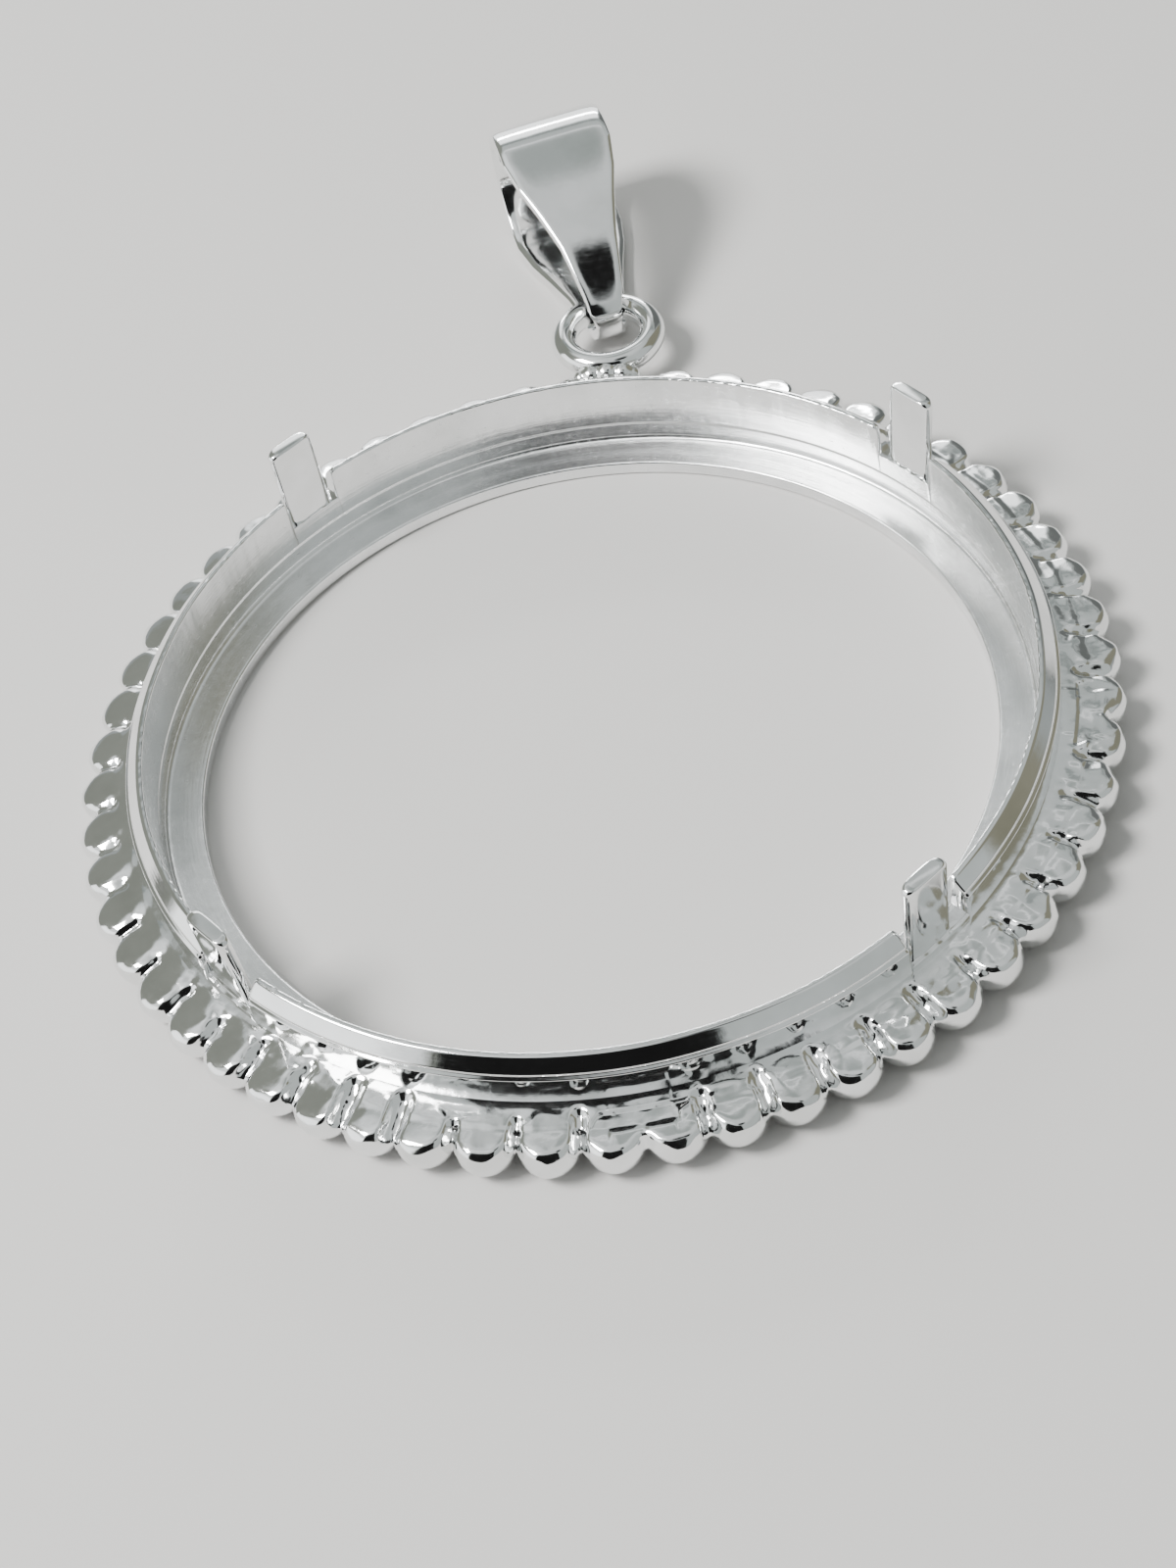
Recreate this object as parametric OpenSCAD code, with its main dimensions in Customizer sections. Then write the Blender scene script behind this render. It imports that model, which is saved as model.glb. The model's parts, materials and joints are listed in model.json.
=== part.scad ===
// Coin bezel pendant: a round silver frame with a beaded rim, a ledge for the
// coin, four upright tabs that fold over it, a fixed loop and a folded bail.
// Millimetres. The origin is on the frame's axis at the face of the ledge the
// coin lies on, +Z points out of the open seat and +Y points towards the loop.

/* [Seat] */
// Diameter of the opening the coin sits in
seat_d = 38.4; // [36:0.1:42]
// Depth of the seat from the top of the wall down to the ledge
seat_depth = 3.6; // [3.4:0.1:4.4]
// Width of the ledge that stops the coin
ledge_w = 1.8; // [1.2:0.1:2.4]
// Thickness of the ledge
ledge_t = 0.7; // [0.5:0.05:0.9]

/* [Wall] */
// Thickness of the wall at its top
wall_t = 0.75; // [0.6:0.05:1]
// Height of the lower band of the wall, above the beaded rim
band_h = 1.35; // [0.7:0.05:1.4]
// How far the lower band stands out from the upper one
band_step = 0.15; // [0.1:0.05:0.3]
// Rounding of the outer corner at the top of the wall
wall_round = 0.5; // [0.1:0.05:0.5]

/* [Beaded rim] */
// Number of beads round the rim
bead_n = 56; // [48:1:64]
// Height of the rim at the foot of the wall, above the underside
rim_h = 2.25; // [2.1:0.05:2.4]
// How much lower the tops of the beads are filed
bead_file = 0.13; // [0.1:0.01:0.25]
// How far the centres of the beads lie outside the seat
bead_out = 2.28; // [2.1:0.02:2.6]
// Bead radius as a share of half the spacing
bead_fill = 1.062; // [1.04:0.002:1.1]
// Direction of the first bead from +X, in degrees
bead_start = 4.16; // [0:0.01:6]

/* [Tabs] */
// Width of a tab
tab_w = 2.4; // [1.8:0.05:2.6]
// Thickness of a tab
tab_t = 0.66; // [0.5:0.02:0.68]
// Height of a tab above the wall
tab_h = 2.5; // [1.5:0.1:3.5]
// Rounding of a tab's top corners
tab_round = 0.32; // [0.1:0.02:0.6]

/* [Loop] */
// Outer diameter of the loop
loop_d = 5.6; // [5.2:0.1:6]
// Thickness of the loop's wire
loop_wire = 1.25; // [1.1:0.05:1.3]
// Height of the loop's wire above the underside
loop_z = 1.8; // [1.7:0.05:2]

/* [Bail] */
// Thickness of the bail's strip
strip_t = 0.62; // [0.5:0.02:0.7]
// Outer radius of the bail's round top
top_r = 3.6; // [3:0.1:3.8]
// Distance from the loop's wire to the middle of the round top
bail_reach = 8.1; // [7.5:0.1:10]
// Outer radius of the bail's narrow end
eye_r = 1.5; // [1.45:0.01:1.6]
// Radius the upper leaf of the bail is bowed to
bow_r = 20; // [16:0.5:30]
// Radius the leaf underneath is bowed to, nearly flat
under_r = 80; // [80:5:200]
// Gap between the bail and the loop's wire
wire_gap = 0.12; // [0.08:0.01:0.16]
// Direction of the bail from +X, in degrees
bail_turn = 107; // [95:1:108]

/* [Hidden] */
$fn = 96;
seat_r = seat_d / 2;
wall_r = seat_r + wall_t;
band_r = wall_r + band_step;
wall_top = ledge_t + seat_depth;
band_z = min(rim_h + band_h, wall_top - wall_round - 0.12);
ledge_r = seat_r - ledge_w;
bead_c = seat_r + bead_out;
bead_r = bead_fill * bead_c * sin(180 / bead_n);
bead_z = bead_r + 0.02;
rim_r = seat_r + 1.75;
rim_low = 0.5;

// how far some beads lie to one side of their even place, against their number
bead_side = [
  [37, 0],
  [39, -0.3],
  [40, -0.25],
  [42, 0],
  [46, 0],
  [50, 0.28],
  [51, 0.4],
  [52, 0.27],
  [53, 0.12],
  [55, 0],
];

// the four hand-cut tabs: direction, lean outwards in degrees, how much wider
// and taller than the sizes above, saw cut on the clockwise side, saw cut on
// the other side
tab_dir = 0; tab_lean = 1; tab_wide = 2; tab_tall = 3; tab_cw = 4; tab_ccw = 5;
tabs = [
  [43.1, 6.5, 0, -0.1, 0.42, 0.42],
  [134.2, 1.5, -0.1, 0, 0.31, 0.12],
  [-135.3, 3, 0.1, 0.1, 0.29, 0.22],
  [-44.65, 3, -0.1, 0.1, 0.12, 0.83],
];

loop_mid = (loop_d - loop_wire) / 2;
loop_y = bead_c + bead_r + loop_d / 2 - 0.1;
wire_dir = 97;
wire_x = loop_mid * cos(wire_dir);
wire_y = loop_y + loop_mid * sin(wire_dir);
bail_rise = asin((top_r + 0.02 - loop_z) / bail_reach);

// middle of the circle of radius b that bows one leaf, tangent inside to both
// ends of the bail
function bow_p(b) = ((b - eye_r) * (b - eye_r) - (b - top_r) * (b - top_r)
  + bail_reach * bail_reach) / (2 * bail_reach);
function bow_q(b) = sqrt((b - eye_r) * (b - eye_r) - bow_p(b) * bow_p(b));

// radius of the loop's hole, less the gap
hole_r = loop_mid - loop_wire / 2 - wire_gap;

// the strip's outline: distance from the wire, half width, how far its middle
// lies to one side
leaf_p = 0; leaf_w = 1; leaf_y = 2;
leaf = [
  [-0.9, 0.84, 0.12],
  [0, 1.05, -0.04],
  [2.4, 1.48, -0.12],
  [4.2, 1.98, -0.12],
  [5.8, 2.48, -0.12],
  [7.5, 2.8, -0.12],
  [9.5, 2.8, -0.12],
  [12.6, 2.72, -0.12],
];

// What is drawn: all, or one of the names above

// cross-section of the wall, the ledge and the flat part of the beaded rim
module ring_section() {
  polygon([
    [ledge_r, 0],
    [seat_r + 0.6, 0],
    [rim_r, rim_low],
    [rim_r, rim_h - bead_file + 0.02],
    [(band_r + rim_r) / 2, rim_h - bead_file + 0.05],
    [band_r, rim_h],
    [band_r, band_z],
    [wall_r, band_z + 0.1],
    [wall_r, wall_top - wall_round],
    [wall_r - wall_round, wall_top],
    [seat_r, wall_top],
    [seat_r, ledge_t],
    [ledge_r, ledge_t],
  ]);
  translate([wall_r - wall_round, wall_top - wall_round])
    intersection() {
      circle(r = wall_round);
      translate([-0.01, -0.01]) square(wall_round + 0.02);
    }
}

module beads() {
  difference() {
    for (i = [0 : bead_n - 1])
      rotate([0, 0, bead_start + i * 360 / bead_n + atan(lookup(i, bead_side) / bead_c)])
        translate([bead_c, 0, bead_z]) sphere(r = bead_r);
    // the file takes off the tops of the beads
    translate([0, 0, rim_h - bead_file]) cylinder(r = bead_c + 2 * bead_r, h = 2);
  }
}

// the gap sawn in the wall for one tab
module tab_gap(t) {
  half = (tab_w + t[tab_wide]) / 2;
  cw = half + t[tab_cw];
  ccw = half + t[tab_ccw];
  rotate([0, 0, t[tab_dir]])
    translate([seat_r - 0.5, -cw, rim_h + 0.4])
      cube([1.6, cw + ccw, wall_top - rim_h + 1]);
}

module tab(t) {
  wide = tab_w + t[tab_wide];
  tall = wall_top - rim_h + tab_h + t[tab_tall];
  side = wide - tab_t;
  rotate([0, 0, t[tab_dir]])
    translate([seat_r + 0.05 + tab_t / 2, 0, rim_h])
      rotate([0, t[tab_lean], 0])
        intersection() {
          translate([0, 0, -0.3])
            linear_extrude(height = tall + 0.3) {
              square([tab_t, side], center = true);
              translate([0, side / 2]) circle(d = tab_t);
              translate([0, -side / 2]) circle(d = tab_t);
            }
          rotate([90, 0, 90])
            linear_extrude(height = 2, center = true) tab_face(wide, tall);
        }
}

// front outline of a tab, its top corners rounded
module tab_face(wide, tall) {
  translate([-wide / 2 - 0.1, -0.4]) square([wide + 0.2, tall + 0.4 - tab_round]);
  translate([-wide / 2 + tab_round, -0.4]) square([wide - 2 * tab_round, tall + 0.4]);
  for (s = [-1, 1])
    translate([s * (wide / 2 - tab_round), tall - tab_round]) circle(r = tab_round);
}

module loop() {
  translate([0, loop_y, loop_z])
    rotate_extrude() translate([loop_mid, 0]) circle(d = loop_wire);
}

// solder between the loop and the beads
module solder() {
  translate([0, bead_c + bead_r + 0.1, loop_z - 0.2]) {
    rotate([0, 90, 0]) cylinder(r = 0.7, h = 2.2, center = true);
    translate([1.1, 0, 0]) sphere(r = 0.7);
    translate([-1.1, 0, 0]) sphere(r = 0.7);
  }
}

module bezel_frame() {
  color([0.86, 0.87, 0.88]) translate([0, 0, -ledge_t]) {
    difference() {
      rotate_extrude() ring_section();
      for (t = tabs) tab_gap(t);
    }
    beads();
    for (t = tabs) tab(t);
    loop();
    solder();
  }
}

// side view of the bail, filled: grown by g (negative for the opening)
module bail_side(g) {
  circle(r = eye_r + g);
  translate([bail_reach, 0]) circle(r = top_r + g);
  bow_side(g, bow_r);
  mirror([0, 1]) bow_side(g, under_r);
}

module bow_side(g, b) {
  c = [bow_p(b), -bow_q(b)];
  d1 = -c / (b - eye_r);
  d2 = ([bail_reach, 0] - c) / (b - top_r);
  intersection() {
    translate(c) circle(r = b + g, $fn = 720);
    polygon([
      [0, -0.1],
      [0, 0],
      c + d1 * (b + g + 2),
      c + d2 * (b + g + 2),
      [bail_reach, 0],
      [bail_reach, -0.1],
    ]);
  }
}

// outline of the strip seen from the front
module leaf_outline() {
  n = len(leaf) - 1;
  polygon([
    for (i = [0 : n]) [leaf[i][leaf_p], leaf[i][leaf_y] - leaf[i][leaf_w]],
    for (i = [n : -1 : 0]) [leaf[i][leaf_p], leaf[i][leaf_y] + leaf[i][leaf_w]],
  ]);
  translate([-0.62, 0.1]) circle(r = 0.88);
}

// room the curved wire needs as the bail turns round it
module wire_way() {
  w = hole_r * sin(80);
  rotate([90, 0, 0]) rotate_extrude()
    polygon(concat([[0, -w]],
      [for (a = [-80 : 20 : 80]) [loop_mid - hole_r * cos(a), hole_r * sin(a)]],
      [[0, w]]));
}

module bail() {
  color([0.86, 0.87, 0.88])
    translate([wire_x, wire_y, loop_z - ledge_t])
      difference() {
        rotate([0, 0, bail_turn]) rotate([0, -bail_rise, 0])
          intersection() {
            rotate([90, 0, 0])
              linear_extrude(height = 8, center = true)
                difference() { bail_side(0); bail_side(-strip_t); }
            translate([0, 0, -6]) linear_extrude(height = 12) leaf_outline();
          }
        rotate([0, 0, wire_dir]) wire_way();
      }
}

bezel_frame();
bail();
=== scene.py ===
import json
import math

import bpy
import numpy as np
from mathutils import Matrix, Vector

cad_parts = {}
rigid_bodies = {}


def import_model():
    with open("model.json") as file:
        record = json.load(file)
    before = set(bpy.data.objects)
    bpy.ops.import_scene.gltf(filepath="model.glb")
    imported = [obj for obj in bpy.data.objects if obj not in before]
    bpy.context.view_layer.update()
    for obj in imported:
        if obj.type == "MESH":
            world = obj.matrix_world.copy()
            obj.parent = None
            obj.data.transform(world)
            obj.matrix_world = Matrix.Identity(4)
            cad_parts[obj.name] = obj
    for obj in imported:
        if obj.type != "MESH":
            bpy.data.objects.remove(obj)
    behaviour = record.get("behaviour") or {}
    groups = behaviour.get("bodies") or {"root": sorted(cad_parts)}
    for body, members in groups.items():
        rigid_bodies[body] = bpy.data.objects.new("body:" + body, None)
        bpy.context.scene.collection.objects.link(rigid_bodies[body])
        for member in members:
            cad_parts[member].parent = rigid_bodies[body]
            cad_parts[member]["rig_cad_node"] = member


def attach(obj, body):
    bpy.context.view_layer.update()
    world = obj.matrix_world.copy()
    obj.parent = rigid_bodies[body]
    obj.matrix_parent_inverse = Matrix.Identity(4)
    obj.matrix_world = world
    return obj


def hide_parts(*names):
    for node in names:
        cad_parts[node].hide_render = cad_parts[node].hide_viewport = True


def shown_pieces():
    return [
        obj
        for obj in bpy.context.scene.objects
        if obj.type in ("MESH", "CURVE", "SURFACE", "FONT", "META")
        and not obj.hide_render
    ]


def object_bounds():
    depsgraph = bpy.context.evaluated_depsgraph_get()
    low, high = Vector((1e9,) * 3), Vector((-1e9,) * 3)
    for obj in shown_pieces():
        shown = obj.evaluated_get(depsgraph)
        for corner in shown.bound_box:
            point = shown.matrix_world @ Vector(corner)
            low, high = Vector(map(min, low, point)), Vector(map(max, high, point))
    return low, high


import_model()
cad_lo, cad_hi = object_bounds()

# ---------------------------------------------------------------- sizes, mm
# heights are counted from the underside; LEDGE_T brings them to the row frame
SEAT_R, WALL_T, LEDGE_T, SEAT_DEPTH, LEDGE_W = 19.2, 0.75, 0.7, 3.6, 1.8
RIM_H, BAND_H, BAND_STEP, WALL_ROUND, BEAD_FILE = 2.25, 1.35, 0.15, 0.5, 0.13
BEADS, BEAD_START, BEAD_C = 56, 4.16, 19.2 + 2.28
BEAD_R = 1.062 * BEAD_C * math.sin(math.pi / BEADS)
BEAD_Z = BEAD_R + 0.02
RIM_R = 19.2 + 1.75
# how far some beads lie to one side of their even place, against their number
BEAD_SIDE = np.array([
    (37, 0.0), (39, -0.3), (40, -0.25), (42, 0.0), (46, 0.0), (50, 0.28), (51, 0.4), (52, 0.27), (53, 0.12), (55, 0.0),
])
SHIFT = np.interp(np.arange(BEADS), BEAD_SIDE[:, 0], BEAD_SIDE[:, 1]) / BEAD_C
WALL_R, BAND_R, LEDGE_R = SEAT_R + WALL_T, SEAT_R + WALL_T + BAND_STEP, SEAT_R - LEDGE_W
WALL_TOP, BAND_Z = LEDGE_T + SEAT_DEPTH, RIM_H + BAND_H
CUT_Z = RIM_H + 0.4
TAB_W, TAB_T, TAB_H, TAB_ROUND = 2.4, 0.66, 2.5, 0.32
# direction, lean, wider, taller, clockwise cut, other cut
TABS = [
    (43.1, 6.5, 0.0, -0.1, 0.42, 0.42),
    (134.2, 1.5, -0.1, 0.0, 0.31, 0.12),
    (-135.3, 3.0, 0.1, 0.1, 0.29, 0.22),
    (-44.65, 3.0, -0.1, 0.1, 0.12, 0.83),
]
LOOP_MID, WIRE_R, LOOP_Z = 2.175, 0.625, 1.8
LOOP_Y = BEAD_C + BEAD_R + 2.8 - 0.1
WIRE_DIR, BAIL_TURN = math.radians(97), math.radians(107)
STRIP_T, TOP_R, REACH, EYE_R, BOW_R, UNDER_R, WIRE_GAP = 0.62, 3.6, 8.1, 1.5, 20.0, 80.0, 0.12
RISE = math.asin((TOP_R + 0.02 - LOOP_Z) / REACH)
# the strip's outline: distance from the wire, half width, sideways
LEAF = np.array([
    (-1.5, 0.30, 0.10), (-1.3, 0.56, 0.10), (-0.9, 0.82, 0.11), (0.0, 1.03, -0.04), (2.4, 1.46, -0.12),
    (4.2, 1.96, -0.12), (5.8, 2.46, -0.12), (7.5, 2.78, -0.12), (9.5, 2.78, -0.12), (12.6, 2.70, -0.12),
])


def mesh_object(name, verts, faces, material, body, smooth=True):
    me = bpy.data.meshes.new(name)
    v = np.asarray(verts, float).reshape(-1, 3).copy()
    v[:, 2] -= LEDGE_T
    me.from_pydata((v * 0.001).tolist(), [], [tuple(int(i) for i in f) for f in faces])
    me.validate()
    me.update()
    if smooth:
        me.polygons.foreach_set("use_smooth", [True] * len(me.polygons))
    ob = bpy.data.objects.new(name, me)
    bpy.context.scene.collection.objects.link(ob)
    ob.data.materials.append(material)
    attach(ob, body)
    return ob


def grid_faces(nu, nv, wrap_u=True, wrap_v=True, flip=False):
    i, j = np.meshgrid(np.arange(nu if wrap_u else nu - 1), np.arange(nv if wrap_v else nv - 1), indexing="ij")
    i2, j2 = (i + 1) % nu, (j + 1) % nv
    f = np.stack([i * nv + j, i2 * nv + j, i2 * nv + j2, i * nv + j2], -1).reshape(-1, 4)
    return f[:, ::-1] if flip else f


def wave(theta, seed, low, high):
    """Smooth periodic wobble of about -1 to 1, from whole numbers of waves round the ring."""
    rng = np.random.RandomState(seed)
    n = rng.randint(low, high, 24)
    p, a = rng.uniform(0, 2 * math.pi, 24), rng.uniform(0.4, 1, 24)
    return sum(ai * np.sin(ni * theta + pi) for ai, ni, pi in zip(a, n, p)) / math.sqrt((a * a).sum() / 2) * 0.5


def rounded(points):
    """A closed outline with each corner (r, z, radius, steps) rounded to an arc, and straight faces kept straight."""
    out, n = [], len(points)
    for k in range(n):
        p0, p1, p2 = (np.array(points[(k + d) % n][:2], float) for d in (-1, 0, 1))
        rad, steps = points[k][2:4]
        a, b = (p0 - p1) / np.linalg.norm(p0 - p1), (p2 - p1) / np.linalg.norm(p2 - p1)
        if rad <= 0:
            out.append(p1)
            continue
        half = math.acos(max(-1, min(1, float(a @ b)))) / 2
        reach = min(rad / math.tan(half), 0.86 * np.linalg.norm(p0 - p1), 0.86 * np.linalg.norm(p2 - p1))
        rad = reach * math.tan(half)
        mid = p1 + (a + b) / np.linalg.norm(a + b) * (rad / math.sin(half))
        s, e = p1 + a * reach, p1 + b * reach
        s0, e0 = (s - mid) / rad, (e - mid) / rad
        turn = math.acos(max(-1, min(1, float(s0 @ e0))))
        out.append(s + a * 0.012)
        for t in np.linspace(0, 1, steps):
            out.append(mid + rad * (math.sin((1 - t) * turn) * s0 + math.sin(t * turn) * e0) / math.sin(turn))
        out.append(e + b * 0.012)
    return np.array(out)


# ------------------------------------------------------------------ materials
def math_node(nt, op, a, b=None):
    n = nt.nodes.new("ShaderNodeMath")
    n.operation = op
    for k, v in ((0, a), (1, b)):
        if v is None:
            continue
        if isinstance(v, (int, float)):
            n.inputs[k].default_value = v
        else:
            nt.links.new(v, n.inputs[k])
    return n.outputs[0]


def silver(name, rough=(0.05, 0.14), scratch=0.25, dents=0.25, brush=0.0, grain=0.0, dark=(0.80, 0.81, 0.80), light=(0.95, 0.955, 0.96)):
    """Polished silver: fine scratches that run round the ring, shallow dents, patchy polish and a little tarnish."""
    m = bpy.data.materials.new(name)
    m.use_nodes = True
    nt = m.node_tree
    nt.nodes.clear()
    out = nt.nodes.new("ShaderNodeOutputMaterial")
    bs = nt.nodes.new("ShaderNodeBsdfPrincipled")
    nt.links.new(bs.outputs[0], out.inputs[0])
    bs.inputs["Metallic"].default_value = 1.0
    if grain > 0:
        bs.inputs["Anisotropic"].default_value = grain
        tan = nt.nodes.new("ShaderNodeTangent")
        tan.direction_type, tan.axis = "RADIAL", "Z"
        nt.links.new(tan.outputs[0], bs.inputs["Tangent"])
    tc = nt.nodes.new("ShaderNodeTexCoord")
    sep = nt.nodes.new("ShaderNodeSeparateXYZ")
    nt.links.new(tc.outputs["Object"], sep.inputs[0])
    x, y, z = sep.outputs
    r = math_node(nt, "SQRT", math_node(nt, "ADD", math_node(nt, "MULTIPLY", x, x), math_node(nt, "MULTIPLY", y, y)))
    th = math_node(nt, "ARCTAN2", y, x)
    ring = nt.nodes.new("ShaderNodeCombineXYZ")
    nt.links.new(math_node(nt, "MULTIPLY", th, 6.0), ring.inputs[0])
    nt.links.new(math_node(nt, "MULTIPLY", r, 9000.0), ring.inputs[1])
    nt.links.new(math_node(nt, "MULTIPLY", z, 9000.0), ring.inputs[2])
    mm = nt.nodes.new("ShaderNodeVectorMath")
    mm.operation = "SCALE"
    mm.inputs["Scale"].default_value = 1000.0
    nt.links.new(tc.outputs["Object"], mm.inputs[0])

    def noise(vec, scale, detail=3.0, roughness=0.55):
        n = nt.nodes.new("ShaderNodeTexNoise")
        n.inputs["Scale"].default_value = scale
        n.inputs["Detail"].default_value = detail
        n.inputs["Roughness"].default_value = roughness
        nt.links.new(vec, n.inputs["Vector"])
        return n.outputs["Fac"]

    streak = noise(ring.outputs[0], 1.0, 4.0, 0.6)
    patch = noise(mm.outputs[0], 0.35, 3.0)
    fine = noise(mm.outputs[0], 3.2, 4.0)
    low = noise(mm.outputs[0], 0.9, 2.0)
    ramp = nt.nodes.new("ShaderNodeValToRGB")
    ramp.color_ramp.elements[0].position, ramp.color_ramp.elements[0].color = 0.25, (*dark, 1)
    ramp.color_ramp.elements[1].position, ramp.color_ramp.elements[1].color = 0.6, (*light, 1)
    nt.links.new(patch, ramp.inputs[0])
    nt.links.new(ramp.outputs[0], bs.inputs["Base Color"])
    rr = nt.nodes.new("ShaderNodeMapRange")
    rr.inputs["From Min"].default_value, rr.inputs["From Max"].default_value = 0.35, 0.7
    rr.inputs["To Min"].default_value, rr.inputs["To Max"].default_value = rough
    nt.links.new(math_node(nt, "ADD", math_node(nt, "MULTIPLY", fine, 0.6), math_node(nt, "MULTIPLY", streak, 0.4)), rr.inputs["Value"])
    nt.links.new(rr.outputs[0], bs.inputs["Roughness"])
    h = math_node(nt, "ADD", math_node(nt, "MULTIPLY", streak, scratch + brush), math_node(nt, "MULTIPLY", low, dents * 4))
    h = math_node(nt, "ADD", h, math_node(nt, "MULTIPLY", fine, dents))
    bump = nt.nodes.new("ShaderNodeBump")
    bump.inputs["Strength"].default_value = 0.35
    bump.inputs["Distance"].default_value = 0.00002
    nt.links.new(h, bump.inputs["Height"])
    nt.links.new(bump.outputs[0], bs.inputs["Normal"])
    return m


MIRROR = silver("silver_mirror", (0.04, 0.10), 0.15, 0.12)
BEADED = silver("silver_beads", (0.05, 0.15), 0.05, 0.5)
BAIL_MAT = silver("silver_bail", (0.05, 0.12), 0.05, 0.15)
SOLDER = silver("silver_solder", (0.10, 0.24), 0.02, 1.2, dark=(0.74, 0.74, 0.72))
BRUSHED = silver("silver_brushed", (0.18, 0.30), 0.5, 0.02, brush=0.4, grain=0.8, dark=(0.78, 0.79, 0.79))


# --------------------------------------------------- wall, band and coin ledge
def gap_ends():
    rows = []
    for d, lean, wide, tall, cw, ccw in TABS:
        half = (TAB_W + wide) / 2
        rows.append((math.radians(d) - math.asin((half + cw) / 19.55), math.radians(d) + math.asin((half + ccw) / 19.55)))
    return rows


def frame_wall():
    gaps = gap_ends()
    eps = 0.008 / 19.5
    th = list(np.linspace(0, 2 * math.pi, 1240, endpoint=False))
    for a, b in gaps:
        for d in (0.0, 0.01, 0.03, 0.06, 0.1, 0.15, 0.2, 0.26, 0.34):
            th += [(a - d / 19.5) % (2 * math.pi), (b + d / 19.5) % (2 * math.pi)]
        th += [(a + eps) % (2 * math.pi), (b - eps) % (2 * math.pi)]
    th = np.unique(np.round(np.array(th), 7))
    prof = rounded([
        (LEDGE_R, 0, 0.12, 4), (SEAT_R + 0.6, 0, 0, 1), (20.05, 0.25, 0, 1), (20.05, RIM_H - 0.3, 0, 1), (BAND_R, RIM_H - 0.2, 0, 1),
        (BAND_R, BAND_Z, 0.06, 4), (WALL_R, BAND_Z + 0.1, 0.05, 4), (WALL_R, WALL_TOP - 1.06 * WALL_ROUND, 0.25, 6), (WALL_R - 1.02 * WALL_ROUND, WALL_TOP, 0.22, 7), (SEAT_R, WALL_TOP, 0.08, 6),
        (SEAT_R, LEDGE_T + 0.95, 0.06, 3), (SEAT_R - 0.04, LEDGE_T + 0.85, 0.06, 3), (SEAT_R - 0.04, LEDGE_T, 0.28, 6), (LEDGE_R, LEDGE_T, 0.12, 5),
    ])
    # distance inside the wall from the nearest cut
    d = np.full(len(th), 9.0)
    for a, b in gaps:
        inside = ((th - a) % (2 * math.pi)) < ((b - a) % (2 * math.pi))
        da = ((a - th + math.pi) % (2 * math.pi) - math.pi) * 19.5
        db = ((th - b + math.pi) % (2 * math.pi) - math.pi) * 19.5
        near = np.where(np.abs(da) < np.abs(db), da, db)
        near = np.where(inside, -1.0, np.where(np.abs(near) < 3, np.maximum(near, 0), 9.0))
        d = np.minimum(d, near)
    rho, pin = 0.26, 0.16
    top = np.where(d < 0, CUT_Z + 0.03 * wave(th, 9, 60, 200), WALL_TOP - rho + np.sqrt(np.maximum(rho ** 2 - (rho - np.clip(d, 0, rho)) ** 2, 0)))
    s = (top - RIM_H - 0.02) / (WALL_TOP - RIM_H - 0.02)
    th_half = np.where(d < 0, 1.0, 1 - (pin - np.sqrt(np.maximum(pin ** 2 - (pin - np.clip(d, 0, pin)) ** 2, 0))) / (WALL_T / 2) * 0.8)
    R = np.repeat(prof[None, :, 0], len(th), 0)
    Z = np.repeat(prof[None, :, 1], len(th), 0)
    up = np.clip((Z - RIM_H - 0.02) / 0.15, 0, 1)
    mid = SEAT_R + WALL_T / 2
    R = np.where(Z > RIM_H + 0.02, mid + (R - mid) * (1 + (th_half[:, None] - 1) * up), R)
    Z = np.where(Z > RIM_H + 0.02, RIM_H + 0.02 + (Z - RIM_H - 0.02) * s[:, None], Z)
    # the sawn inner edge of the top is a little ragged, the wall slightly out of true
    T = th[:, None]
    edge = np.exp(-(((prof[None, :, 0] - SEAT_R) / 0.10) ** 2 + ((prof[None, :, 1] - WALL_TOP) / 0.10) ** 2))
    live = (d > 0.3)[:, None]
    R = R - live * edge * (0.018 * np.abs(wave(T, 3, 60, 260)) + 0.003)
    Z = Z + live * edge * 0.014 * wave(T, 4, 60, 260)
    upper = np.clip((prof[None, :, 1] - 2.4) / 1.5, 0, 1)
    R = R + live * upper * 0.014 * wave(T, 5, 6, 26)
    V = np.stack([R * np.cos(T), R * np.sin(T), Z], -1)
    ob = mesh_object("wall_and_ledge", V, grid_faces(len(th), len(prof), flip=False), MIRROR, "bezel")
    ob.data.materials.append(BRUSHED)
    n = len(prof)
    # the ledge and the turned inner wall
    low = [(prof[j, 0] < SEAT_R + 0.001 and 0.2 < prof[j, 1] < WALL_TOP - 0.1) for j in range(n)]
    idx = [1 if (low[p % n] or low[(p + 1) % n]) else 0 for p in range(n)]
    ob.data.polygons.foreach_set("material_index", [idx[k % n] for k in range(len(ob.data.polygons))])
    return ob


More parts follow.
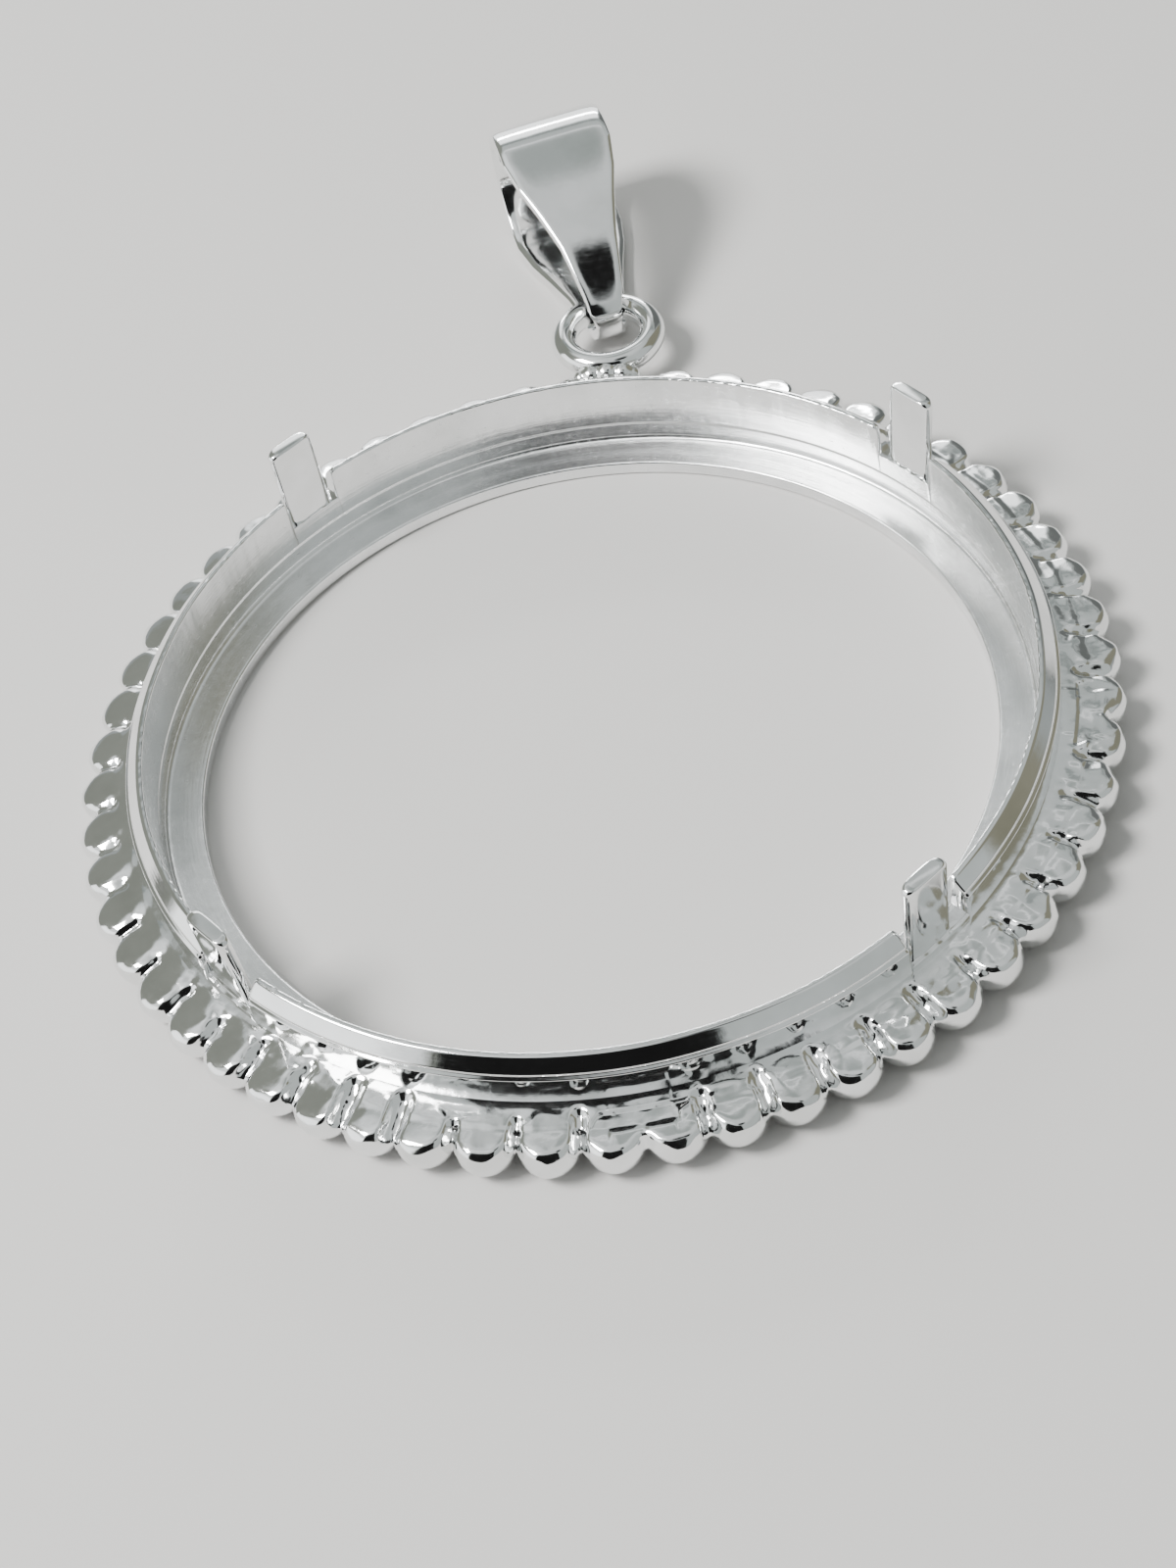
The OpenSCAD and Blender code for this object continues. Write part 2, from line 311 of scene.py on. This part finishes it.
# ----------------------------------------------------------------- beaded rim
# charted beads. first and last bead, how far the top is tilted sideways and
# outwards, height of the filed top over the ball's middle, then two filed facets:
# degrees to one side of straight out, degrees up, depth below the ball's surface
B_FIRST, B_LAST, B_SIDE, B_OUT, B_TOP, B_S1, B_UP1, B_CUT1, B_S2, B_UP2, B_CUT2 = range(11)
BEAD_STYLE = [
    (0, 7, 0.02, 0.04, 0.80, -38, 50, 0.08, 36, 48, 0.10),
    (8, 19, 0.00, 0.15, 0.76, -35, 45, 0.04, 35, 45, 0.04),
    (20, 26, 0.02, 0.30, 0.66, -25, 42, 0.00, 50, 38, 0.06),
    (27, 29, -0.02, 0.28, 0.68, -25, 42, 0.00, 38, 39, 0.10),
    (30, 33, -0.08, 0.22, 0.73, 60, 20, 0.00, 20, 38, 0.13),
    (34, 37, -0.13, 0.14, 0.79, -2, 40, 0.18, 60, 20, 0.00),
    (38, 39, -0.08, 0.06, 0.81, -12, 41, 0.13, 24, 54, 0.02),
    (40, 40, 0.00, 0.03, 0.82, 4, 41, 0.10, -40, 40, 0.03),
    (41, 42, 0.00, 0.03, 0.82, 4, 38, 0.05, -42, 38, 0.05),
    (43, 43, 0.00, 0.03, 0.82, 6, 41, 0.10, 20, 30, 0.00),
    (44, 47, 0.02, 0.05, 0.81, -30, 44, 0.05, 26, 50, 0.05),
    (48, 53, 0.00, 0.04, 0.80, -38, 50, 0.05, 38, 46, 0.12),
    (54, 55, 0.00, 0.04, 0.80, -30, 50, 0.04, 32, 50, 0.05),
]
# the channels between the beads. bead before the channel, half width, radius where
# it starts, depth, roughness
V_FIRST, V_LAST, V_HALF, V_START, V_DEEP, V_ROUGH = range(6)
CHANNELS = [
    (0, 7, 0.17, 20.75, 0.06, 0.5), (8, 19, 0.20, 20.8, 0.10, 0.2), (20, 30, 0.0, 21.5, 0.0, 0.2), (31, 32, 0.11, 21.1, 0.04, 0.5),
    (33, 34, 0.18, 20.8, 0.08, 1.2), (35, 35, 0.28, 20.5, 0.14, 1.3), (36, 36, 0.30, 20.5, 0.14, 1.6), (37, 37, 0.42, 20.4, 0.20, 1.4),
    (38, 38, 0.40, 20.42, 0.22, 0.4), (39, 39, 0.17, 21.1, 0.10, 0.1), (40, 40, 0.15, 20.9, 0.20, 0.0), (41, 41, 0.22, 20.5, 0.14, 0.3),
    (42, 42, 0.0, 21.5, 0.0, 0.0), (43, 43, 0.34, 20.45, 0.20, 1.5), (44, 45, 0.28, 20.55, 0.15, 1.1), (46, 47, 0.34, 20.5, 0.17, 0.8),
    (48, 53, 0.18, 20.75, 0.07, 1.1), (54, 54, 0.0, 21.5, 0.0, 0.0), (55, 55, 0.20, 20.7, 0.12, 0.6),
]
MERGED = (42, 54)


def waves3(seed, count, low, high):
    """Directions and phases of a few plane waves with wavelengths from low to high, mm."""
    rng = np.random.RandomState(seed)
    n = rng.normal(size=(count, 3))
    n /= np.linalg.norm(n, axis=1)[:, None]
    return n * (2 * math.pi / rng.uniform(low, high, count))[:, None], rng.uniform(0, 2 * math.pi, count)


def lumps(x, y, z, w):
    return sum(np.sin(k[0] * x + k[1] * y + k[2] * z + p) for k, p in zip(*w)) / math.sqrt(len(w[1]) / 2)


W_COARSE, W_FINE, W_FILE = waves3(5, 9, 0.9, 1.9), waves3(6, 12, 0.42, 0.95), waves3(9, 5, 0.9, 1.7)


def spread(table, first, last, cols, seed, wobble):
    """One row per bead from the short table, each bead a little different."""
    rng = np.random.RandomState(seed)
    out = np.zeros((BEADS, len(cols)))
    for row in table:
        for k in range(row[first], row[last] + 1):
            out[k] = [row[c] for c in cols]
    return out + rng.uniform(-1, 1, out.shape) * np.array(wobble)


STYLE = spread(BEAD_STYLE, B_FIRST, B_LAST, (B_SIDE, B_OUT, B_TOP, B_S1, B_UP1, B_CUT1, B_S2, B_UP2, B_CUT2), 12,
               (0.03, 0.02, 0.015, 7, 4, 0.02, 7, 4, 0.025))
VALLEY = spread(CHANNELS, V_FIRST, V_LAST, (V_HALF, V_START, V_DEEP, V_ROUGH), 13, (0.03, 0.08, 0.02, 0.15))


def smax(a, b, k):
    h = np.clip(0.5 - 0.5 * (b - a) / k, 0, 1)
    return b * (1 - h) + a * h + k * h * (1 - h)


def smin(a, b, k):
    return -smax(-a, -b, k)


def tilted(th):
    """1 on the side where the file leant outwards, 0 on the other."""
    t = np.clip((np.cos(th - math.radians(183)) - 0.35) / 0.45, 0, 1)
    return t * t * (3 - 2 * t)


def filed_top(r, th):
    """Height of the filed surface: falling a little from the wall's foot, then level or falling outwards."""
    slope = 0.095 * 0.1 * np.logaddexp(0, (21.46 - r) / 0.1)
    return RIM_H - BEAD_FILE + slope - 0.3 * tilted(th) * np.maximum(r - 20.45, 0)


def rim_field(th, r, z):
    step, t0 = 2 * math.pi / BEADS, math.radians(BEAD_START)
    x, y = r * np.cos(th), r * np.sin(th)
    d = np.maximum.reduce([z - filed_top(r, th), 19.7 - r, (0.5 - z) * 0.93 + (r - RIM_R) * 0.365, 0.06 - z])
    d = smax(d, r - 21.30 + 0.35 * tilted(th) + 0.30 * np.clip(1.9 - z, 0, 2), 0.22)
    lean = tilted(th)
    # the valleys are widest between the lower left beads
    wide = np.exp(-((np.degrees(th) % 360 - 213) / 15) ** 2)
    k0 = np.round((th - t0) / step).astype(int)
    for off in (-1, 0, 1):
        k = k0 + off
        b = k % BEADS
        side, fall, top = (STYLE[b, c] for c in range(3))
        at = th - t0 - k * step - SHIFT[b]
        u = r * np.sin(at)
        v = r * np.cos(at) - BEAD_C
        w = z - BEAD_Z
        s = np.sqrt(u * u + v * v + w * w) - BEAD_R
        s = smax(s, (side * u + fall * v + w - top + 0.03 * (u * u + v * v)) / np.sqrt(1 + side ** 2 + fall ** 2), 0.11 + 0.28 * lean)
        for c in (3, 6):
            turn, up, cut = np.radians(STYLE[b, c]), np.radians(STYLE[b, c + 1]), STYLE[b, c + 2]
            q = np.cos(up) * (np.sin(turn) * u + np.cos(turn) * v) + np.sin(up) * w - BEAD_R + cut
            s = np.where(cut > 0.012, smax(s, q, 0.06), s)
        d = smin(d, s, 0.13 + 0.15 * lean + 0.16 * wide)
    # the two pairs of beads filed as one
    for k in MERGED:
        a = ((th - t0 - (k + 0.5) * step + math.pi) % (2 * math.pi) - math.pi) * 21.4
        top = z - (RIM_H - BEAD_FILE - 0.03 - 0.05 * (r - BEAD_C))
        d = smin(d, np.maximum.reduce([np.abs(a) - 1.2, np.abs(r - 21.1) - 0.8, top, 1.2 - z]), 0.2)
        pocket = np.maximum.reduce([np.abs(a) - 1.7 - 0.15 * lumps(x, y, z, W_COARSE), 20.78 - r, r - 21.5, (RIM_H - BEAD_FILE - 0.025) - z])
        d = smax(d, -pocket, 0.07)
    # channels between the beads, running in from the valleys
    kv = np.floor((th - t0) / step).astype(int)
    g, r0, deep, rough = (VALLEY[kv % BEADS, c] for c in range(4))
    a = (th - t0 - (kv + 0.5) * step - (SHIFT[kv % BEADS] + SHIFT[(kv + 1) % BEADS]) / 2) * r
    t = np.clip((r - r0) / 1.5, 0, 1)
    zc = filed_top(r0, th) - deep + g - 0.55 * t
    groove = np.sqrt(a * a + (z - zc) ** 2 + np.minimum(r - r0 - g * 0.6, 0) ** 2) - g
    near = np.exp(-(a / 0.6) ** 2) * np.clip((r - r0 + 0.5) / 0.4, 0, 1) * np.clip((z - 0.8) / 0.5, 0, 1)
    d = np.where(g > 0.05, smax(d, -groove, 0.17), d)
    d = d + near * np.maximum(rough, 0) * 0.013 * lumps(x, y, z, W_FINE)
    # small uneven file marks, stronger on the clockwise half
    rippled = np.clip(0.5 + 0.9 * np.cos(th - math.radians(-10)), 0.12, 1) * np.clip((r - 20.4) / 0.3, 0, 1)
    d = d + 0.026 * rippled * np.abs(lumps(x, y, z, W_FILE)) * np.clip((z - 1.2) / 0.4, 0, 1)
    return d + (0.002 + 0.006 * np.clip((r - 21.0) / 0.5, 0, 1)) * lumps(x, y, z, W_COARSE) * np.clip((z - 0.6) / 0.4, 0, 1)


def beaded_rim():
    nt_, rc, zc = BEADS * 38, 20.72, 1.2
    th = math.radians(BEAD_START) + np.arange(nt_) / nt_ * 2 * math.pi
    al = np.radians(np.concatenate([np.linspace(-112, -20, 9)[:-1], np.linspace(-20, 128, 33), np.linspace(142, 232, 5)]))
    T, A = np.meshgrid(th, al, indexing="ij")
    ca, sa = np.cos(A), np.sin(A)
    lo, hi, prev = np.zeros(T.shape), np.full(T.shape, 2.3), np.full(T.shape, 2.3)
    found = np.zeros(T.shape, bool)
    for t in np.linspace(2.3, 0.0, 47)[1:]:
        todo = ~found
        f = rim_field(T[todo], rc + t * ca[todo], zc + t * sa[todo])
        hit = np.zeros(T.shape, bool)
        hit[todo] = f < 0
        lo[hit], hi[hit] = t, prev[hit]
        found |= hit
        prev[~found] = t
        if found.all():
            break
    for _ in range(9):
        m = (lo + hi) / 2
        f = rim_field(T, rc + m * ca, zc + m * sa)
        lo, hi = np.where(f < 0, m, lo), np.where(f < 0, hi, m)
    t = (lo + hi) / 2
    Rr, Z = rc + t * ca, zc + t * sa
    V = np.stack([Rr * np.cos(T), Rr * np.sin(T), Z], -1)
    return mesh_object("beaded_rim", V, grid_faces(nt_, len(al)), BEADED, "bezel")


# ----------------------------------------------------------------------- tabs
def tab_piece(k, row):
    d, lean, wide, tall, cw, ccw = row
    W, H = TAB_W + wide, WALL_TOP - RIM_H + TAB_H + tall
    rd, edge = TAB_ROUND, 0.07
    levels = [(-0.3, 0.0)] + [(y, 0.0) for y in np.linspace(0, H - rd, 10)]
    levels += [(H - rd + rd * math.sin(a), 0.0) for a in np.radians([15, 30, 45, 58, 68])]
    levels += [(H - edge + edge * math.sin(a), edge * (1 - math.cos(a))) for a in np.radians([20, 45, 70, 90])]
    levels.sort()
    n, rings = 64, []
    for y, inset in levels:
        half = W / 2 if y < H - rd else W / 2 - rd + math.sqrt(max(rd ** 2 - (y - H + rd) ** 2, 0))
        half, ht = half - inset, TAB_T / 2 - inset
        pts = []
        for a in np.linspace(0, 2 * math.pi, n, endpoint=False):
            c, s = math.cos(a), math.sin(a)
            pts.append((ht * c, (half - ht) * math.tanh(3.2 * s) / math.tanh(3.2) + ht * s))
        rings.append([(p[0], p[1], y) for p in pts])
    A, L = math.radians(d), math.radians(lean)
    er, et, ez = np.array([math.cos(A), math.sin(A), 0]), np.array([-math.sin(A), math.cos(A), 0]), np.array([0, 0, 1.0])
    up, out = math.sin(L) * er + math.cos(L) * ez, math.cos(L) * er - math.sin(L) * ez
    base = er * (SEAT_R + 0.05 + TAB_T / 2) + ez * RIM_H
    V = np.array([[base + out * p[0] + et * p[1] + up * p[2] for p in ring] for ring in rings])
    faces = [tuple(f) for f in grid_faces(len(rings), n, wrap_u=False, flip=True)]
    m = len(rings)
    faces += [tuple(range(n - 1, -1, -1)), tuple(range((m - 1) * n, m * n))]
    return mesh_object("tab_%d" % k, V, faces, MIRROR, "bezel")


# ------------------------------------------------------------ loop and solder
def wire_loop():
    nu, nv = 192, 36
    U, W = np.meshgrid(np.linspace(0, 2 * math.pi, nu, endpoint=False), np.linspace(0, 2 * math.pi, nv, endpoint=False), indexing="ij")
    rad = WIRE_R * (1 - 0.006 * (1 + wave(U, 8, 2, 9)))
    r = LOOP_MID + rad * np.cos(W)
    V = np.stack([r * np.cos(U), LOOP_Y + r * np.sin(U), LOOP_Z + rad * np.sin(W)], -1)
    return mesh_object("wire_loop", V, grid_faces(nu, nv), BAIL_MAT, "bezel")


def solder_blob():
    y0 = BEAD_C + BEAD_R + 0.1
    balls = [(0, y0, 1.6, 0.66), (0.75, y0 - 0.05, 1.55, 0.62), (-0.75, y0, 1.55, 0.6), (1.2, y0 - 0.1, 1.5, 0.42),
             (-1.25, y0 - 0.1, 1.5, 0.44), (0.3, y0 + 0.25, 1.75, 0.42), (-0.45, y0 + 0.2, 1.8, 0.36), (0.95, y0 + 0.2, 1.6, 0.3)]
    verts, faces = [], []
    for x, y, z, r in balls:
        import bmesh
        bm = bmesh.new()
        bmesh.ops.create_icosphere(bm, subdivisions=3, radius=r)
        o = len(verts)
        verts += [(v.co.x + x, v.co.y + y, v.co.z + z) for v in bm.verts]
        faces += [tuple(v.index + o for v in f.verts) for f in bm.faces]
        bm.free()
    me = bpy.data.meshes.new("solder_raw")
    me.from_pydata(verts, [], faces)
    tmp = bpy.data.objects.new("solder_raw", me)
    bpy.context.scene.collection.objects.link(tmp)
    mod = tmp.modifiers.new("r", "REMESH")
    mod.mode, mod.voxel_size = "VOXEL", 0.05
    sm = tmp.modifiers.new("s", "SMOOTH")
    sm.iterations, sm.factor = 5, 0.6
    dg = bpy.context.evaluated_depsgraph_get()
    ev = bpy.data.meshes.new_from_object(tmp.evaluated_get(dg))
    V = np.array([v.co for v in ev.vertices])
    F = [tuple(p.vertices) for p in ev.polygons]
    bpy.data.objects.remove(tmp)
    return mesh_object("solder", V, F, SOLDER, "bezel")


# ----------------------------------------------------------------------- bail
def bow(b):
    p = ((b - EYE_R) ** 2 - (b - TOP_R) ** 2 + REACH ** 2) / (2 * REACH)
    return p, math.sqrt((b - EYE_R) ** 2 - p * p)


def bail_path(inset):
    """Outer side line of the bail, moved inwards by inset: points and outward normals."""
    pts, nor = [], []

    def arc(cx, cy, r, a0, a1, n):
        for a in np.linspace(a0, a1, n, endpoint=False):
            pts.append((cx + (r - inset) * math.cos(a), cy + (r - inset) * math.sin(a)))
            nor.append((math.cos(a), math.sin(a)))

    pu, qu = bow(BOW_R)
    pl, ql = bow(UNDER_R)
    u1, u2 = math.atan2(qu, -pu), math.atan2(qu, REACH - pu)
    l1, l2 = -math.atan2(ql, -pl), -math.atan2(ql, REACH - pl)
    arc(REACH, 0, TOP_R, 0, u2, 60)
    arc(pu, -qu, BOW_R, u2, u1, 70)
    arc(0, 0, EYE_R, u1, l1 + 2 * math.pi, 48)
    arc(pl, ql, UNDER_R, l1, l2, 60)
    arc(REACH, 0, TOP_R, l2, 0, 60)
    return np.array(pts), np.array(nor)


def bail():
    P, N = bail_path(STRIP_T / 2)
    half = np.interp(P[:, 0], LEAF[:, 0], LEAF[:, 1])
    mid = np.interp(P[:, 0], LEAF[:, 0], LEAF[:, 2])
    # cross-section of the strip: flat faces, rounded edges
    sec = []
    for a in np.linspace(0, 2 * math.pi, 52, endpoint=False):
        c, s = math.cos(a), math.sin(a)
        q = (abs(c) ** 7 + abs(s) ** 7) ** (-1 / 7)
        sec.append((q * c, q * s))
    sec = np.array(sec)
    crown = 0.035 * (1 - sec[:, 0] ** 2) * np.sign(sec[:, 1])
    wsec = half[:, None] * np.sign(sec[:, 0]) * np.abs(sec[:, 0]) ** 0.75 + mid[:, None]
    tsec = (STRIP_T / 2 - 0.035) * sec[:, 1] + crown
    x = P[:, None, 0] + N[:, None, 0] * tsec[None, :]
    y = P[:, None, 1] + N[:, None, 1] * tsec[None, :]
    c, s = math.cos(RISE), math.sin(RISE)
    X, Z = x * c - y * s, x * s + y * c
    ct, sn = math.cos(BAIL_TURN), math.sin(BAIL_TURN)
    V = np.stack([X * ct - wsec * sn, X * sn + wsec * ct, Z], -1)
    # room for the curved wire, as in the source
    ax = np.array([math.sin(WIRE_DIR), -math.cos(WIRE_DIR), 0])
    hole = LOOP_MID - WIRE_R - WIRE_GAP
    w = V @ ax
    rad = V - w[..., None] * ax
    rr = np.linalg.norm(rad, axis=-1)
    need = np.where(np.abs(w) < hole * 0.99, LOOP_MID - np.sqrt(np.maximum(hole ** 2 - w * w, 0)) + 0.015, 0)
    push = (rr < need) & (rr > 1e-6)
    V = np.where(push[..., None], w[..., None] * ax + rad * (need / np.maximum(rr, 1e-6))[..., None], V)
    V += np.array([LOOP_MID * math.cos(WIRE_DIR), LOOP_Y + LOOP_MID * math.sin(WIRE_DIR), LOOP_Z])
    ob = mesh_object("bail_strip", V, grid_faces(len(P), len(sec)), BAIL_MAT, "bail")
    return ob


body = frame_wall()
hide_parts("bezel_frame")
beaded_rim()
for k, row in enumerate(TABS):
    tab_piece(k + 1, row)
wire_loop()
solder_blob()
strip = bail()
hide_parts("bail")

# normals face outwards on every piece
import bmesh
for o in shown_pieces():
    if o.type == "MESH" and "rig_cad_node" not in o:
        bm = bmesh.new()
        bm.from_mesh(o.data)
        bmesh.ops.recalc_face_normals(bm, faces=bm.faces)
        bm.to_mesh(o.data)
        bm.free()

# ---------------------------------------------------------------------- stage
def stage_material(name, color, rough, emit=None):
    m = bpy.data.materials.new(name)
    m.use_nodes = True
    b = m.node_tree.nodes["Principled BSDF"]
    b.inputs["Base Color"].default_value = (*color, 1)
    b.inputs["Roughness"].default_value = rough
    b.inputs["Specular IOR Level"].default_value = 0.2
    return m


def plane(name, centre, u, v, material):
    c, u, v = Vector(centre), Vector(u), Vector(v)
    me = bpy.data.meshes.new(name)
    me.from_pydata([c - u - v, c + u - v, c + u + v, c - u + v], [], [(0, 1, 2, 3)])
    ob = bpy.data.objects.new(name, me)
    bpy.context.scene.collection.objects.link(ob)
    ob.data.materials.append(material)
    return ob


floor_z = cad_lo.z
plane("floor", (0, 0, floor_z - 0.00001), (2, 0, 0), (0, 2, 0), stage_material("floor_pale", (0.60, 0.59, 0.58), 0.85))

# camera: the photograph's place and angle
cam_pos = Vector((17.468, -85.095, 93.524)) * 0.001
fwd = Vector((-0.140342, 0.655061, -0.742431)).normalized()
upv = Vector((0.077279, 0.754816, 0.651373))
right = fwd.cross(upv).normalized()
upv = right.cross(fwd).normalized()
cd = bpy.data.cameras.new("camera")
cd.sensor_width, cd.sensor_fit, cd.lens = 36.0, "AUTO", 67.5
cd.clip_start, cd.clip_end = 0.005, 20
cam = bpy.data.objects.new("camera", cd)
bpy.context.scene.collection.objects.link(cam)
cam.matrix_world = Matrix((
    (right.x, upv.x, -fwd.x, cam_pos.x), (right.y, upv.y, -fwd.y, cam_pos.y), (right.z, upv.z, -fwd.z, cam_pos.z), (0, 0, 0, 1)))
bpy.context.scene.camera = cam

def area(name, azimuth, elevation, distance, size, power, color=(1, 1, 1), target=(0, 0.004, 0.001)):
    a, e = math.radians(azimuth), math.radians(elevation)
    t = Vector(target)
    pos = t + Vector((math.cos(a) * math.cos(e), math.sin(a) * math.cos(e), math.sin(e))) * distance
    ld = bpy.data.lights.new(name, "AREA")
    ld.shape, ld.size, ld.size_y = "RECTANGLE", size[0], size[1]
    ld.energy, ld.color = power, color
    ob = bpy.data.objects.new(name, ld)
    ob.location = pos
    ob.rotation_mode = "QUATERNION"
    ob.rotation_quaternion = (t - pos).to_track_quat("-Z", "Y")
    bpy.context.scene.collection.objects.link(ob)
    return ob


area("key", 200, 52, 0.45, (0.17, 0.13), 3.6, (1.0, 0.995, 0.98))
area("rim_light", 100, 22, 0.6, (0.30, 0.05), 0.9, (1.0, 1.0, 1.0))

# the room: a light ceiling, darker walls, and the dark side the viewer stands on
world = bpy.data.worlds.new("studio")
bpy.context.scene.world = world
world.use_nodes = True
wn = world.node_tree
wn.nodes.clear()
wo, bg = wn.nodes.new("ShaderNodeOutputWorld"), wn.nodes.new("ShaderNodeBackground")
wt = wn.nodes.new("ShaderNodeTexCoord")


def side_of(normal, soft, offset=0.0):
    """0 on one side of a plane through the middle, 1 on the other, with a soft edge."""
    n = Vector(normal).normalized()
    d = wn.nodes.new("ShaderNodeVectorMath")
    d.operation = "DOT_PRODUCT"
    d.inputs[1].default_value = n
    wn.links.new(wt.outputs["Generated"], d.inputs[0])
    m = wn.nodes.new("ShaderNodeMapRange")
    m.interpolation_type = "SMOOTHSTEP"
    m.inputs["From Min"].default_value, m.inputs["From Max"].default_value = offset - soft, offset + soft
    wn.links.new(d.outputs["Value"], m.inputs["Value"])
    return m.outputs[0]


def paint(under, colour, amount):
    mx = wn.nodes.new("ShaderNodeMix")
    mx.data_type = "RGBA"
    wn.links.new(amount, mx.inputs["Factor"])
    a_in, b_in = [i for i in mx.inputs if i.type == "RGBA"][:2]
    if isinstance(under, tuple):
        a_in.default_value = (*under, 1)
    else:
        wn.links.new(under, a_in)
    b_in.default_value = (*colour, 1)
    return [o for o in mx.outputs if o.type == "RGBA"][0]


def both(*amounts):
    out = amounts[0]
    for a in amounts[1:]:
        m = wn.nodes.new("ShaderNodeMath")
        m.operation = "MULTIPLY"
        wn.links.new(out, m.inputs[0])
        wn.links.new(a, m.inputs[1])
        out = m.outputs[0]
    return out


def direction(az, el):
    a, e = math.radians(az), math.radians(el)
    return (math.cos(a) * math.cos(e), math.sin(a) * math.cos(e), math.sin(e))


def wall_below(az, height):
    """Directions that meet a wall standing towards az, whose top is height times its distance away."""
    a = math.radians(az)
    return (height * math.cos(a), height * math.sin(a), -1.0)


def window(az0, az1, el0, el1, soft=0.03):
    """Directions between two azimuths, less than half a turn apart, and two elevations."""
    a0, a1 = math.radians(az0), math.radians(az1)
    return both(side_of((-math.sin(a0), math.cos(a0), 0), soft), side_of((math.sin(a1), -math.cos(a1), 0), soft),
                side_of((0, 0, 1), soft, math.sin(math.radians(el0))), side_of((0, 0, -1), soft, -math.sin(math.radians(el1))))


def spot(az, el, half_angle, soft=0.03):
    return side_of(direction(az, el), soft, math.cos(math.radians(half_angle)))


sky = paint((0.56, 0.60, 0.59), (0.78, 0.81, 0.805), side_of(direction(0, 90), 0.12, 0.86))
sky = paint(sky, (0.27, 0.285, 0.25), side_of(wall_below(165, 1.48), 0.02))
sky = paint(sky, (0.36, 0.39, 0.385), side_of(wall_below(66, 0.55), 0.03))
sky = paint(sky, (0.30, 0.335, 0.325), window(60, 118, 41, 45, 0.01))
sky = paint(sky, (0.25, 0.245, 0.185), window(2, 48, 8, 52))
sky = paint(sky, (0.15, 0.16, 0.155), window(50, 80, 8, 39))
sky = paint(sky, (1.05, 1.08, 1.08), window(70, 128, 55, 58, 0.015))
sky = paint(sky, (0.40, 0.44, 0.425), spot(88, 69, 9, 0.012))
sky = paint(sky, (2.2, 2.25, 2.25), window(84, 118, 1, 38))
sky = paint(sky, (1.3, 1.35, 1.35), spot(150, 62, 9))
sky = paint(sky, (1.5, 1.55, 1.55), spot(206, 66, 9))
sky = paint(sky, (2.2, 2.25, 2.25), window(170, 229, 0, 27))
sky = paint(sky, (1.2, 1.24, 1.24), window(192, 230, 26, 42))
sky = paint(sky, (0.012, 0.012, 0.012), window(-128, -66, -2, 58, 0.012))
sky = paint(sky, (0.012, 0.012, 0.012), spot(-55, 68, 9, 0.006))
sky = paint(sky, (0.10, 0.10, 0.095), side_of(direction(0, -90), 0.06, -0.0))
wn.links.new(sky, bg.inputs[0])
bg.inputs[1].default_value = 1.0
wn.links.new(bg.outputs[0], wo.inputs[0])
